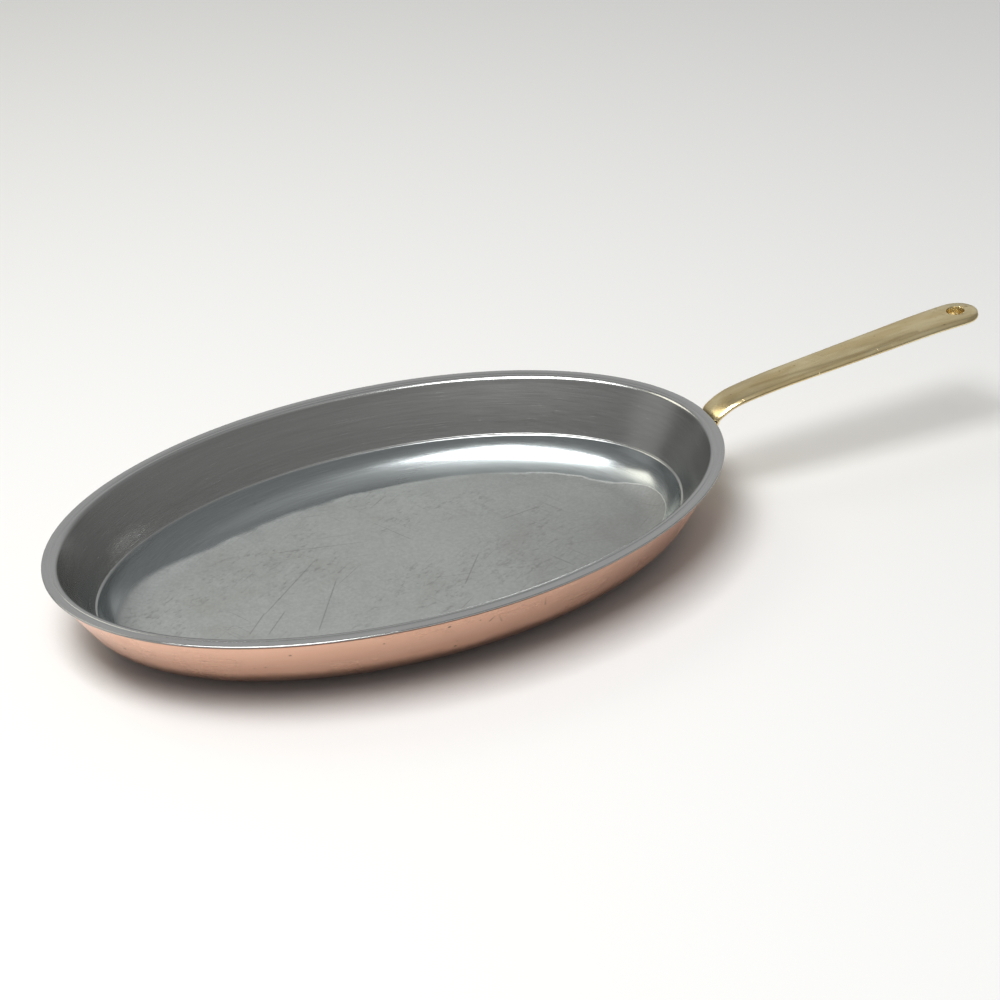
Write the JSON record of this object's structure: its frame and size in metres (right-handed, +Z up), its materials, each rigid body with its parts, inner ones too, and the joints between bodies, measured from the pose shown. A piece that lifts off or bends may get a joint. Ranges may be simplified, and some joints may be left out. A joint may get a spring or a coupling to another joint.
{
  "type": "oval fish pan",
  "caption": "Shallow oval copper fish pan with a flared wall, a steel lining with a flat rim, and a long riveted brass strap handle.",
  "frame": {"origin": "centre of the flat underside, where the pan rests", "axes": "+Z up out of the pan, +X along the oval's length towards the tip of the handle, +Y across the oval"},
  "size_m": [0.5233, 0.2416, 0.0703],
  "materials": {
    "brushed_steel": "satin, worn and scratched on the cooking floor",
    "copper_sheet": "pale polished copper with fine marks round the oval",
    "cast_brass": "smooth worn casting, slightly tarnished"
  },
  "bodies": {
    "root": {"steel_lining": "brushed_steel", "copper_jacket": "copper_sheet", "handle": "cast_brass", "rivet_left": "cast_brass", "rivet_right": "cast_brass", "rivet_lower": "cast_brass"}
  },
  "joints": []
}
